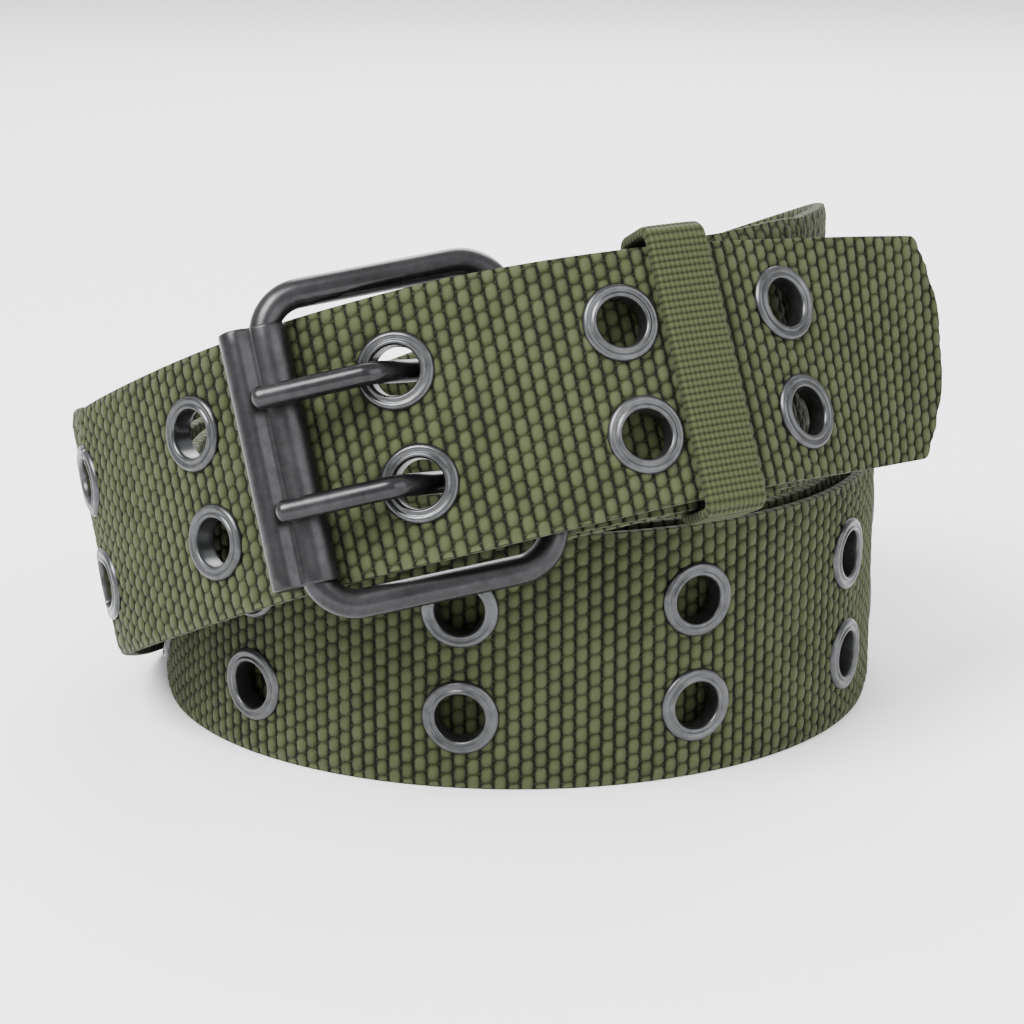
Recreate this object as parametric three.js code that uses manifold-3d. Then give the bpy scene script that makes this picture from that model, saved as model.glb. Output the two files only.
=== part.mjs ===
// A canvas web belt with a double-prong buckle, fastened, wound into a coil of three turns and
// stood on its edge. Two turns stand flat on the floor. The turn that carries the buckle is
// tipped: it hangs over the front of the coil and its loose end points to the right.
// Millimetres and degrees, +Z up, the buckle towards -Y. The origin is the middle of the base.
import * as THREE from "three";
import { mergeVertices } from "three/addons/utils/BufferGeometryUtils.js";
import Module from "manifold-3d";

const wasm = await Module();
wasm.setup();

// Webbing strap
const strapWidth = 38;
const strapThickness = 2;
const coilRadius = 55.8; // middle of the outer flat turn
const tailLength = 17; // folded back behind the buckle
const tipCorner = 21; // half length of the rounded end's arc, across the strap
const tipBulge = 8.5; // how far the rounded end stands out in the middle
const tipNarrowing = 4.6; // the loose end is this much narrower than the strap
const taperLength = 85; // along which it widens to the full width

// Eyelets
const eyeletHole = 7;
const eyeletFlange = 11.2;
const barrelWall = 0.45;
const flangeHeight = 0.6;
const rowGap = 16; // from one row of eyelets to the other
const eyeletPitch = 34.58;
const lastPitch = 28; // between the two pairs nearest the loose end
const heldPitch = 31.8; // between the pair on the prongs and the next one towards the loose end
const tipReach = 33.5; // from the last pair to the end of the strap
const eyeletPairs = 18; // counted from the loose end; the pairs hidden in the inner turns are left out

// Buckle
const wireSize = 4.2;
const frameLength = 34; // along the strap, wire middle to wire middle
const railGap = 1; // from each edge of the strap to the frame
const frameCorner = 6; // wire middle
const sleeveInset = 3.8; // from the middle of each rail to the sleeve's end
const sleeveWall = 0.6;
const lipReach = 3.9; // from the bar to the middle of the rolled lip
const lipRadius = 2.3;
const prongSize = 3.2;
const prongEyeWall = 1.9;

// Keeper loop
const keeperWidth = 9;
const keeperThickness = 1.5;

// Clearances
const touchGap = 0.3;
const keeperGap = 0.4;
const slotGap = 0.4;
const layGap = 0.9; // behind the loose end, on the far side of its eyelets

// How the tipped turn lies
const leanLeft = 12.5;
const leanBack = 20;
const ringShift = -1.9; // its middle, to the side of the coil's middle
const ringHeight = 0.97; // and above the floor, as a share of the strap's width
const buckleTurn = 8.3; // where the prong bar lies, round the tipped turn
const tipLeaves = 46; // where the loose end leaves the turn and runs straight
const tipLean = 2; // backward lean of the loose end
const leftPush = 4; // outward push that takes the tipped turn clear of the flat ones on the left
const crossTurn = 76; // where the other end starts to cross over the flat turns

// Faceting
const pathStep = 2; // degrees
const sectionTurn = 8;
const sectionTwist = 2;
const sectionLength = 10;
const holeSides = 8;
const eyeletSides = 9;
const wireSides = 9;

// What follows from them
const radians = THREE.MathUtils.degToRad;
const degrees = THREE.MathUtils.radToDeg;
const wireRadius = wireSize / 2;
const prongRadius = prongSize / 2;
const frameHeight = strapWidth + wireSize + 2 * railGap; // wire middle to wire middle
const sleeveLength = frameHeight - 2 * sleeveInset;
const eyeletProud = touchGap + flangeHeight;
const layerPitch = strapThickness + 2 * eyeletProud + touchGap;
const foldRadius = wireRadius + touchGap + strapThickness / 2;
const barToTip = foldRadius + strapThickness + eyeletProud + layGap;
const barToUnder = wireRadius + 2 * touchGap + sleeveWall + strapThickness / 2;
const ringRadius = coilRadius + 5;
const prongBarRadius = ringRadius - barToTip;
const limbRadius = prongBarRadius + foldRadius;
const foldWidth = frameHeight - 2 * frameCorner - 2 * touchGap;
const prongReach = frameLength / 2 + touchGap; // prong bar to the pair that the prongs pass through
const prongTurn = buckleTurn - degrees(prongReach / ringRadius);
const prongsToKeeper = heldPitch + (eyeletFlange + keeperWidth) / 2 + keeperGap;
const keeperTurn = prongTurn + degrees(prongsToKeeper / ringRadius);

// Axes of the tipped turn: along is its axle, side points right and rear points back
const along = new THREE.Vector3(-Math.sin(radians(leanLeft)), Math.sin(radians(leanBack)), 0);
along.z = Math.sqrt(1 - along.lengthSq());
const side = new THREE.Vector3(0, 1, 0).cross(along).normalize();
const rear = new THREE.Vector3().crossVectors(along, side);
const upright = new THREE.Vector3(0, 0, 1);

// The tipped turn stands forward until the folded end hangs just outside the flat turns
const foldInside = prongBarRadius - foldRadius - strapThickness / 2;
const ringForward = coilRadius + strapThickness / 2 + eyeletProud + touchGap - rear.y * foldInside
  - along.y * strapWidth / 2;
const ringMiddle = new THREE.Vector3(ringShift, -ringForward, ringHeight * strapWidth);

function onRing(right, out, up = 0) {
  return ringMiddle
    .clone()
    .addScaledVector(side, right)
    .addScaledVector(rear, -out)
    .addScaledVector(along, up);
}

// A direction in the tipped turn's plane, given as (right, out)
function inRing(direction) {
  return side.clone().multiplyScalar(direction.x).addScaledVector(rear, -direction.y);
}

function polar(turn, radius) {
  return new THREE.Vector2(radius * Math.sin(radians(turn)), radius * Math.cos(radians(turn)));
}

function onTurn(turn, radius) {
  const p = polar(turn, radius);
  return onRing(p.x, p.y);
}

// The left one of the two points at radius from the middle and at reach from a given point
function circlesMeet(radius, point, reach) {
  const distance = point.length();
  const foot = (radius ** 2 - reach ** 2 + distance ** 2) / (2 * distance);
  const height = Math.sqrt(radius ** 2 - foot ** 2);
  const ray = point.clone().normalize();
  return new THREE.Vector2(ray.x * foot - ray.y * height, ray.y * foot + ray.x * height);
}

// The buckle is flat between its two bars, one inside the loose end and one outside it
const prongBar = polar(buckleTurn, prongBarRadius);
const sleeveBar = circlesMeet(ringRadius + barToUnder, prongBar, frameLength);
const buckleRight = prongBar.clone().sub(sleeveBar).normalize();
const buckleOut = new THREE.Vector2(-buckleRight.y, buckleRight.x);
const buckleMiddle = prongBar.clone().add(sleeveBar).multiplyScalar(0.5);
const buckleBasis = new THREE.Matrix4()
  .makeBasis(inRing(buckleRight), inRing(buckleOut), along)
  .setPosition(onRing(buckleMiddle.x, buckleMiddle.y));

// Eases from 0 to 1 while x goes from one value to another, either way round
function ease(x, from, to) {
  const t = THREE.MathUtils.clamp((x - from) / (to - from), 0, 1);
  return t * t * t * (t * (6 * t - 15) + 10);
}

// Radius of the flat turns against the angle from the front, counted down from the loose end
function flatRadius(turn) {
  const steps = [-220, -580, -940].filter((start) => turn < start);
  const passed = steps.reduce((sum, start) => sum + ease(turn, start, start - 70), 0);
  const inside = turn < -940 ? 0.7 * ease(turn, -940, -1010) : 0;
  return coilRadius + layerPitch * (1 - passed) - inside;
}

function onFlatTurn(turn) {
  const radius = flatRadius(turn);
  return new THREE.Vector3(radius * Math.sin(radians(turn)), -radius * Math.cos(radians(turn)), 0);
}

// Height of a strap edge above the floor where the tipped turn would carry it
function ringFoot(turn, radius) {
  return Math.max(0, onTurn(turn, radius).z - along.z * strapWidth / 2);
}

// The strap's middle line from the loose end to the folded tail, with its width direction
function strapPath() {
  const points = [];
  const ups = [];
  const feet = [];
  const add = (point, up, foot = null) => {
    points.push(point);
    ups.push(up.clone().normalize());
    feet.push(foot);
  };
  const leaning = (lean) => new THREE.Vector3(along.x, Math.sin(radians(lean)), along.z);
  const ringArc = radians(tipLeaves - buckleTurn) * ringRadius;
  const straight = heldPitch + lastPitch + tipReach - prongReach - ringArc;
  const leave = onTurn(tipLeaves, ringRadius);
  const ahead = leave.clone().sub(onTurn(tipLeaves - 0.1, ringRadius)).normalize();
  const leanStart = radians(keeperTurn - tipLeaves) * ringRadius + keeperWidth / 2;
  const leanAt = (reach) => leanBack + (tipLean - leanBack) * ease(reach, leanStart, straight);
  const straightSteps = Math.round(straight / 2);
  for (let i = straightSteps; i > 0; i--) {
    const reach = (straight * i) / straightSteps;
    add(leave.clone().addScaledVector(ahead, reach), leaning(leanAt(reach)));
  }
  for (let turn = tipLeaves; turn > crossTurn - 1080; turn -= pathStep) {
    const lean = leanAt(radians(turn - tipLeaves) * ringRadius);
    const down = ease(turn, -72, -150);
    const flat = onFlatTurn(turn);
    if (turn > -150) {
      const aside = leftPush * ease(turn, -35, -88) * (1 - ease(turn, -110, -165));
      const spot = onTurn(turn, ringRadius).lerp(flat, down).add(flat.clone().setLength(aside));
      const foot = down > 0 ? ringFoot(turn, ringRadius) * (1 - down) : null;
      add(spot, leaning(lean).lerp(upright, down), foot);
    } else {
      add(flat, upright, ringFoot(Math.min(turn + 1080, 62), limbRadius) * ease(turn, -830, -1020));
    }
  }
  // the other end crosses over the flat turns and joins the tipped turn inside the loose end
  for (let turn = crossTurn; turn > buckleTurn; turn -= pathStep) {
    const join = ease(turn, crossTurn, keeperTurn + degrees((keeperWidth / 2 + 2) / limbRadius));
    const spot = onFlatTurn(turn - 1080).lerp(onTurn(turn, limbRadius), join);
    const foot = ringFoot(Math.min(turn, 62), limbRadius) * ease(turn - 1080, -830, -1020);
    add(spot, upright.clone().lerp(along, join), join < 1 ? foot : null);
  }
  const out = prongBar.clone().normalize();
  const left = new THREE.Vector2(-out.y, out.x);
  for (let a = 0; a <= 180; a += 15) {
    const p = prongBar
      .clone()
      .addScaledVector(out, foldRadius * Math.cos(radians(a)))
      .addScaledVector(left, foldRadius * Math.sin(radians(a)));
    add(onRing(p.x, p.y), along);
  }
  const tailStep = 1.5;
  const tailRise = foldRadius - strapThickness / 2 - touchGap;
  for (let reach = tailStep; reach <= tailLength; reach += tailStep) {
    const rise = tailRise * ease(reach, 2, tailLength);
    const p = prongBar.clone().addScaledVector(out, rise - foldRadius).addScaledVector(left, -reach);
    add(onRing(p.x, p.y), along);
  }
  points.forEach((point, i) => {
    if (feet[i] === null) {
      return;
    }
    const lean = Math.sqrt(Math.max(0, 1 - ups[i].z ** 2));
    point.z = feet[i] + (ups[i].z * strapWidth) / 2 + lean * strapThickness;
  });
  return { points, ups };
}

// Stations along the strap: its reach from the loose end, middle, width and outward directions
function strapSections() {
  const { points, ups } = strapPath();
  const reaches = [0];
  for (let i = 1; i < points.length; i++) {
    reaches.push(reaches[i - 1] + points[i].distanceTo(points[i - 1]));
  }
  const sections = points.map((point, i) => {
    const before = points[Math.max(0, i - 1)];
    const after = points[Math.min(points.length - 1, i + 1)];
    const ahead = after.clone().sub(before).normalize();
    const up = ups[i].clone().addScaledVector(ahead, -ups[i].dot(ahead)).normalize();
    const out = new THREE.Vector3().crossVectors(up, ahead);
    return { reach: reaches[i], point, up, out, ahead };
  });
  const kept = [sections[0]];
  for (let i = 1; i < sections.length - 1; i++) {
    const last = kept[kept.length - 1];
    const turned = last.ahead.angleTo(sections[i + 1].ahead) > radians(sectionTurn);
    const twisted = last.up.angleTo(sections[i + 1].up) > radians(sectionTwist);
    if (turned || twisted || sections[i + 1].reach - last.reach > sectionLength) {
      kept.push(sections[i]);
    }
  }
  kept.push(sections[sections.length - 1]);
  return kept;
}

const sections = strapSections();
const strapLength = sections[sections.length - 1].reach;
const foldLength = Math.PI * foldRadius;
const foldStart = strapLength - tailLength - foldLength;
const foldEnd = foldStart + foldLength;

// A point of the strap: reach along it, across towards its upper edge and out from its middle
function onStrap(reach, across, out) {
  let i = 1;
  while (i < sections.length - 1 && sections[i].reach < reach) {
    i++;
  }
  const a = sections[i - 1];
  const b = sections[i];
  const share = (reach - a.reach) / (b.reach - a.reach);
  const at = (s) => s.point.clone().addScaledVector(s.up, across).addScaledVector(s.out, out);
  return at(a).lerp(at(b), share);
}

// Closed surface through rings of points; loop joins the last ring to the first
function shell(rings, loop = false) {
  const count = rings[0].length;
  const position = rings.flat().flatMap((p) => [p.x, p.y, p.z]);
  const index = [];
  const spans = loop ? rings.length : rings.length - 1;
  for (let i = 0; i < spans; i++) {
    const next = (i + 1) % rings.length;
    for (let j = 0; j < count; j++) {
      const k = (j + 1) % count;
      index.push(i * count + j, i * count + k, next * count + k);
      index.push(i * count + j, next * count + k, next * count + j);
    }
  }
  if (!loop) {
    const end = (rings.length - 1) * count;
    for (let j = 1; j < count - 1; j++) {
      index.push(0, j + 1, j);
      index.push(end, end + j, end + j + 1);
    }
  }
  const geometry = new THREE.BufferGeometry();
  geometry.setAttribute("position", new THREE.Float32BufferAttribute(position, 3));
  geometry.setIndex(index);
  return outward(geometry);
}

// Turns the faces over where they point in
function outward(geometry) {
  const p = geometry.getAttribute("position");
  const index = geometry.getIndex();
  const at = (i) => new THREE.Vector3().fromBufferAttribute(p, index.getX(i));
  let volume = 0;
  for (let i = 0; i < index.count; i += 3) {
    volume += at(i).dot(at(i + 1).cross(at(i + 2)));
  }
  if (volume < 0) {
    for (let i = 0; i < index.count; i += 3) {
      const first = index.getX(i);
      index.setX(i, index.getX(i + 1));
      index.setX(i + 1, first);
    }
  }
  return geometry;
}

function solid(geometry) {
  const plain = geometry.clone();
  plain.deleteAttribute("normal");
  plain.deleteAttribute("uv");
  const merged = outward(mergeVertices(plain, 1e-4));
  const vertProperties = new Float32Array(merged.getAttribute("position").array);
  const triVerts = new Uint32Array(merged.getIndex().array);
  return new wasm.Manifold(new wasm.Mesh({ numProp: 3, vertProperties, triVerts }));
}

function surface(manifold) {
  const mesh = manifold.getMesh();
  const geometry = new THREE.BufferGeometry();
  geometry.setAttribute("position", new THREE.BufferAttribute(mesh.vertProperties, 3));
  geometry.setIndex(new THREE.BufferAttribute(mesh.triVerts, 1));
  return geometry;
}

const materials = {
  webbing: { color: 0x5c683e, roughness: 0.9, metalness: 0 },
  keeperWebbing: { color: 0x6b7749, roughness: 0.9, metalness: 0 },
  gunmetal: { color: 0x2b2c2e, roughness: 0.35, metalness: 0.9 },
  nickel: { color: 0x6e7071, roughness: 0.4, metalness: 0.9 },
};

const group = new THREE.Group();

function addPiece(name, geometry, material) {
  const bare = geometry.clone();
  bare.deleteAttribute("uv");
  bare.computeVertexNormals();
  const mesh = new THREE.Mesh(bare, new THREE.MeshStandardMaterial(materials[material]));
  mesh.name = name;
  group.add(mesh);
}

// Half the strap's width: rounded and tapered at the loose end, narrowed where it folds between
// the frame's corners
function halfWidth(reach) {
  const round = (tipCorner ** 2 + tipBulge ** 2) / (2 * tipBulge);
  const tip = reach < round ? Math.sqrt(round ** 2 - (round - reach) ** 2) : strapWidth;
  const folded = reach > foldStart - 0.2 && reach < foldEnd + 0.2;
  const taper = (tipNarrowing / 2) * Math.max(0, 1 - reach / taperLength);
  return Math.min(strapWidth / 2 - taper, tip, folded ? foldWidth / 2 : strapWidth);
}

// A round or square post through the strap, standing proud of both faces
function post(outline, depth) {
  const ring = (out) => outline.map(([reach, across]) => onStrap(reach, across, out));
  return solid(shell([ring(-depth), ring(depth)]));
}

function strap() {
  const tipReaches = [0.3, 0.9, 2, 3.6, 5.8, 8.2];
  const foldReaches = [foldStart - 1.4, foldStart - 0.2, foldEnd + 0.2, foldEnd + 1.4];
  const stations = sections.map((s) => s.reach).filter((r) => r > 9.5);
  const all = [...new Set([...tipReaches, ...foldReaches, ...stations])].sort((a, b) => a - b);
  const rings = all.map((reach) => {
    const half = halfWidth(reach);
    const t = strapThickness / 2;
    return [[half, t], [-half, t], [-half, -t], [half, -t]].map(([w, o]) => onStrap(reach, w, o));
  });
  let body = solid(shell(rings));
  const hole = eyeletHole / 2 + barrelWall + touchGap;
  pairReaches.forEach((reach) => {
    [-1, 1].forEach((row) => {
      const outline = [];
      for (let i = 0; i < holeSides; i++) {
        const a = (2 * Math.PI * (i + 0.5)) / holeSides;
        const r = hole / Math.cos(Math.PI / holeSides);
        outline.push([reach + r * Math.cos(a), (row * rowGap) / 2 + r * Math.sin(a)]);
      }
      body = body.subtract(post(outline, strapThickness / 2 + 3 * touchGap));
    });
  });
  // slots that the prongs' eyes stand in
  const eye = wireRadius + touchGap + prongEyeWall;
  const beside = Math.sqrt(eye ** 2 - (foldRadius - strapThickness / 2) ** 2) + slotGap;
  const slotHalf = prongRadius + slotGap;
  [-1, 1].forEach((row) => {
    const middle = (row * rowGap) / 2;
    const rungs = [];
    const steps = 16;
    for (let i = 0; i <= steps; i++) {
      const reach = foldStart - beside + ((foldLength + 2 * beside) * i) / steps;
      const deep = strapThickness / 2 + touchGap / 2;
      const corners = [[1, 1], [-1, 1], [-1, -1], [1, -1]];
      rungs.push(corners.map(([w, o]) => onStrap(reach, middle + w * slotHalf, o * deep)));
    }
    body = body.subtract(solid(shell(rungs)));
  });
  return surface(body);
}

// Reaches of the pairs of eyelets from the loose end
const pairReaches = [tipReach, tipReach + lastPitch, tipReach + lastPitch + heldPitch];
while (pairReaches.length < eyeletPairs) {
  pairReaches.push(pairReaches[pairReaches.length - 1] + eyeletPitch);
}

addPiece("strap", strap(), "webbing");

// Rolled eyelet: bore, flared mouth and a domed flange on both faces
function eyelet(reach, across) {
  const seat = strapThickness / 2 + touchGap;
  const top = seat + flangeHeight;
  const bore = eyeletHole / 2;
  const rim = eyeletFlange / 2;
  const crown = [(bore + rim) / 2 - 0.15, top];
  const half = [[bore, seat * 0.75], crown, [rim, seat + 0.15], [bore + barrelWall, seat]];
  const profile = [...half, ...half.map(([r, o]) => [r, -o]).reverse()];
  const rings = [];
  for (let i = 0; i < eyeletSides; i++) {
    const a = (2 * Math.PI * i) / eyeletSides;
    rings.push(profile.map(([r, o]) => onStrap(reach + r * Math.cos(a), across + r * Math.sin(a), o)));
  }
  return shell(rings, true);
}

pairReaches.forEach((reach, i) => {
  const number = String(i + 1).padStart(2, "0");
  addPiece(`eyelet_${number}_upper`, eyelet(reach, rowGap / 2), "nickel");
  addPiece(`eyelet_${number}_lower`, eyelet(reach, -rowGap / 2), "nickel");
});

// Points of a flat outline with its corners rounded, and the direction to the outline's right
function rounded(corners, radius, steps, loop) {
  const list = [];
  corners.forEach((corner, i) => {
    const end = !loop && (i === 0 || i === corners.length - 1);
    const before = corners[(i + corners.length - 1) % corners.length];
    const after = corners[(i + 1) % corners.length];
    if (end) {
      const ahead = i === 0 ? after.clone().sub(corner) : corner.clone().sub(before);
      list.push({ at: corner.clone(), ahead: ahead.normalize() });
      return;
    }
    const into = corner.clone().sub(before).normalize();
    const from = after.clone().sub(corner).normalize();
    const turn = Math.atan2(into.cross(from), into.dot(from));
    const cut = radius * Math.tan(Math.abs(turn) / 2);
    const hub = corner.clone().addScaledVector(into, -cut);
    const inner = new THREE.Vector2(-into.y, into.x).multiplyScalar(Math.sign(turn) * radius);
    hub.add(inner);
    for (let k = 0; k <= steps; k++) {
      const a = (turn * k) / steps;
      const spoke = inner.clone().negate().rotateAround(new THREE.Vector2(), a);
      list.push({ at: hub.clone().add(spoke), ahead: into.clone().rotateAround(new THREE.Vector2(), a) });
    }
  });
  return list;
}

// Round wire along a flat outline, the last share of each end being its taper
function wire(outline, radius, loop, endShares = []) {
  const rings = outline.map(({ at, ahead }, i) => {
    const fromEnd = outline.length - 1 - i;
    const r = fromEnd < endShares.length ? radius * endShares[fromEnd] : radius;
    const ring = [];
    for (let j = 0; j < wireSides; j++) {
      const a = (2 * Math.PI * j) / wireSides;
      const out = r * Math.cos(a);
      ring.push(new THREE.Vector3(at.x - ahead.y * out, at.y + ahead.x * out, r * Math.sin(a)));
    }
    return ring;
  });
  return shell(rings, loop);
}

// Frame: a closed wire rectangle lying in the buckle's plane, its outline in (right, up)
function rectangle(left, right, low, high) {
  return [[right, high], [left, high], [left, low], [right, low]].map(([x, y]) => new THREE.Vector2(x, y));
}

const frameCorners = rectangle(-frameLength / 2, frameLength / 2, -frameHeight / 2, frameHeight / 2);
const frameOutline = rounded(frameCorners, frameCorner, 5, true);
const frameGeometry = wire(frameOutline, wireRadius, true);
frameGeometry.applyMatrix4(new THREE.Matrix4().set(1, 0, 0, 0, 0, 0, 1, 0, 0, 1, 0, 0, 0, 0, 0, 1));
frameGeometry.applyMatrix4(buckleBasis);
addPiece("buckle_frame", outward(frameGeometry), "gunmetal");

// Sleeve round the outer bar: a tube, stretched where the bar starts to bend, and a rolled lip
function sleeve() {
  const straight = frameHeight / 2 - frameCorner;
  const bent = Math.max(0, sleeveLength / 2 - straight);
  const slack = frameCorner - Math.sqrt(frameCorner ** 2 - bent ** 2);
  const bore = wireRadius + touchGap;
  const shape = new THREE.Shape();
  const tube = bore + sleeveWall;
  const lipMiddle = new THREE.Vector2(-lipReach, tube - lipRadius - 0.3);
  const groove = circlesMeet(tube, lipMiddle, lipRadius);
  const meet = [groove, circlesMeetRight(tube, lipMiddle, lipRadius)].sort((a, b) => b.y - a.y);
  const outline = [];
  const arc = (middle, radius, start, end, steps) => {
    for (let i = 0; i <= steps; i++) {
      const a = start + ((end - start) * i) / steps;
      outline.push(new THREE.Vector2(middle.x + radius * Math.cos(a), middle.y + radius * Math.sin(a)));
    }
  };
  const topAngle = Math.atan2(meet[0].y, meet[0].x);
  arc(new THREE.Vector2(slack, 0), tube, -Math.PI / 2, Math.PI / 2, 8);
  arc(new THREE.Vector2(), tube, Math.PI / 2, topAngle, 2);
  const lipTop = Math.atan2(meet[0].y - lipMiddle.y, meet[0].x - lipMiddle.x);
  arc(lipMiddle, lipRadius, lipTop + 0.12, Math.PI + 0.5, 7);
  outline.push(new THREE.Vector2(lipMiddle.x, -tube + 0.9), new THREE.Vector2(-tube * 0.5, -tube * 0.98));
  shape.setFromPoints(outline);
  const hole = new THREE.Path();
  hole.absarc(slack, 0, bore, -Math.PI / 2, Math.PI / 2);
  hole.absarc(0, 0, bore, Math.PI / 2, (3 * Math.PI) / 2);
  shape.holes.push(hole);
  const sweep = { depth: sleeveLength, bevelEnabled: false, curveSegments: 7 };
  const geometry = new THREE.ExtrudeGeometry(shape, sweep);
  geometry.translate(-frameLength / 2, 0, -sleeveLength / 2);
  geometry.applyMatrix4(buckleBasis);
  return surface(solid(geometry));
}

function circlesMeetRight(radius, point, reach) {
  const mirrored = circlesMeet(radius, new THREE.Vector2(-point.x, point.y), reach);
  return new THREE.Vector2(-mirrored.x, mirrored.y);
}

addPiece("buckle_sleeve", sleeve(), "gunmetal");

// Prong: an eye round the inner bar and a wire that runs behind the loose end, comes out through
// an eyelet and rests on the sleeve. Its line is drawn beside the eyelet, in (left, outwards).
function prong(row) {
  const eyeletMiddle = polar(prongTurn, ringRadius);
  const outDirection = eyeletMiddle.clone().normalize();
  const left = new THREE.Vector2(-outDirection.y, outDirection.x);
  const place = (p) => eyeletMiddle.clone().addScaledVector(left, p.x).addScaledVector(outDirection, p.y);
  const local = (p) => {
    const d = p.clone().sub(eyeletMiddle);
    return new THREE.Vector2(d.dot(left), d.dot(outDirection));
  };
  const clear = strapThickness / 2 + eyeletProud + touchGap + prongRadius;
  const bar = local(prongBar);
  const roller = local(sleeveBar);
  const rest = wireRadius + 2 * touchGap + sleeveWall + prongRadius;
  const line = [
    new THREE.Vector2(bar.x + wireRadius + touchGap + prongEyeWall * 0.6, bar.y),
    new THREE.Vector2(-2.5, -clear - 0.5),
    new THREE.Vector2(2.5, clear + 0.5),
    new THREE.Vector2(roller.x + 0.9, roller.y + rest + 0.05),
  ];
  const outline = rounded(line, 3, 4, false);
  const last = outline[outline.length - 1];
  [0.35, 0.7].forEach((share) => {
    outline.push({ at: last.at.clone().addScaledVector(last.ahead, prongRadius * share), ahead: last.ahead });
  });
  const turned = outline.map(({ at, ahead }) => {
    const spot = place(at);
    return { at: spot, ahead: place(at.clone().add(ahead)).sub(spot) };
  });
  const geometry = wire(turned, prongRadius, false, [0.45, 0.85]);
  const shape = new THREE.Shape();
  shape.absarc(0, 0, wireRadius + touchGap + prongEyeWall, 0, 2 * Math.PI);
  const bore = new THREE.Path();
  bore.absarc(0, 0, (wireRadius + touchGap) / Math.cos(Math.PI / 16), 0, 2 * Math.PI);
  shape.holes.push(bore);
  const sweep = { depth: prongSize * 0.94, bevelEnabled: false, curveSegments: 16 };
  const eye = new THREE.ExtrudeGeometry(shape, sweep);
  eye.translate(prongBar.x, prongBar.y, -prongSize * 0.47);
  const lift = new THREE.Matrix4().makeTranslation(0, 0, (row * rowGap) / 2);
  const joined = solid(geometry).add(solid(eye));
  const result = surface(joined);
  result.applyMatrix4(lift);
  const ringBasis = new THREE.Matrix4().makeBasis(side, rear.clone().negate(), along).setPosition(ringMiddle);
  result.applyMatrix4(ringBasis);
  return outward(result);
}

addPiece("prong_upper", prong(1), "gunmetal");
addPiece("prong_lower", prong(-1), "gunmetal");

// Keeper: a flat loop round the loose end and the strap behind it
function keeper() {
  const inner = limbRadius - strapThickness / 2 - keeperGap;
  const outer = ringRadius + strapThickness / 2 + keeperGap;
  const half = strapWidth / 2 + keeperGap;
  const thick = keeperThickness;
  const loopOf = (grow, radius) => {
    const corners = rectangle(inner - grow, outer + grow, -half - grow, half + grow);
    return rounded(corners, radius, 3, true);
  };
  const inside = loopOf(0, 0.8);
  const outside = loopOf(thick, 0.8 + thick);
  const rings = inside.map(({ at }, i) => {
    const far = outside[i].at;
    return [-1, 1].flatMap((end) => {
      const turn = (radius) => keeperTurn + (end * degrees(keeperWidth / 2 / radius));
      const pair = [at, far].map((p) => {
        const q = polar(turn(ringRadius), p.x);
        return onRing(q.x, q.y, p.y);
      });
      return end < 0 ? pair : pair.reverse();
    });
  });
  return shell(rings, true);
}

addPiece("keeper", keeper(), "keeperWebbing");

const box = new THREE.Box3().setFromObject(group);
const middle = box.getCenter(new THREE.Vector3());
group.children.forEach((mesh) => {
  mesh.geometry.translate(-middle.x, -middle.y, -box.min.z);
});

export default group;
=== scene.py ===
import math

import bpy
import numpy as np
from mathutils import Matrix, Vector


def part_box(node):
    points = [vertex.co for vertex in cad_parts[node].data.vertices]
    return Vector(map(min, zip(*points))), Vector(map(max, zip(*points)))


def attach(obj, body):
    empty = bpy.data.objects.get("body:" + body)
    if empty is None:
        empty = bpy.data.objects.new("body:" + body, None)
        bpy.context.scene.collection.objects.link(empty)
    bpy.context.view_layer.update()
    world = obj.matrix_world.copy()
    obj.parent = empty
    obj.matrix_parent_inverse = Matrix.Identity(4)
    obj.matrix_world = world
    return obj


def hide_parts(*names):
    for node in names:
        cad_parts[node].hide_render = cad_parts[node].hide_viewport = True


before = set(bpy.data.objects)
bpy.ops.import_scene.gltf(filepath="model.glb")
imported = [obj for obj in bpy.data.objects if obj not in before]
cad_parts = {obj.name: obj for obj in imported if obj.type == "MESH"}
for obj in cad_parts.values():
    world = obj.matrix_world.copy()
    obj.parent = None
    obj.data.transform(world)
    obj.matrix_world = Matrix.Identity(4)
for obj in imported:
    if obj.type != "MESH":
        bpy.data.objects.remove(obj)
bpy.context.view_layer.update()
print("frame loaded")

belt = {
    "width": 38.0,
    "thickness": 2.0,
    "coil": 55.8,
    "tail": 17.0,
    "tipCorner": 21.0,
    "tipBulge": 8.5,
    "tipNarrowing": 4.6,
    "taperLength": 85.0,
    "leanLeft": 12.5,
    "leanBack": 20.0,
    "ringWider": 5.0,
    "ringShift": -1.9,
    "ringHeight": 0.97,
    "buckleTurn": 8.3,
    "tipLeaves": 46.0,
    "tipLean": 2.0,
    "leftPush": 4.0,
    "crossTurn": 76.0,
    "gap": 0.3,
    "layGap": 0.9,
}
eye = {
    "hole": 7.0,
    "flange": 11.2,
    "wall": 0.45,
    "height": 0.6,
    "rows": 16.0,
    "pitch": 34.58,
    "lastPitch": 28.0,
    "heldPitch": 31.8,
    "reach": 33.5,
    "count": 18,
    "cutRoom": 0.3,
    "sides": 40,
}
buckle = {
    "wire": 4.2,
    "length": 34.0,
    "height": 44.2,
    "corner": 6.0,
    "sleeve": 36.6,
    "sheet": 0.6,
    "lipReach": 3.9,
    "lip": 2.3,
    "prong": 3.2,
    "prongEye": 1.9,
    "slotRoom": 0.4,
    "shoulders": (0.2, 1.4),
    "cornerSteps": 14,
    "sides": 28,
}
keeper = {"width": 9.0, "thickness": 1.5, "gap": 0.4}

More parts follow.
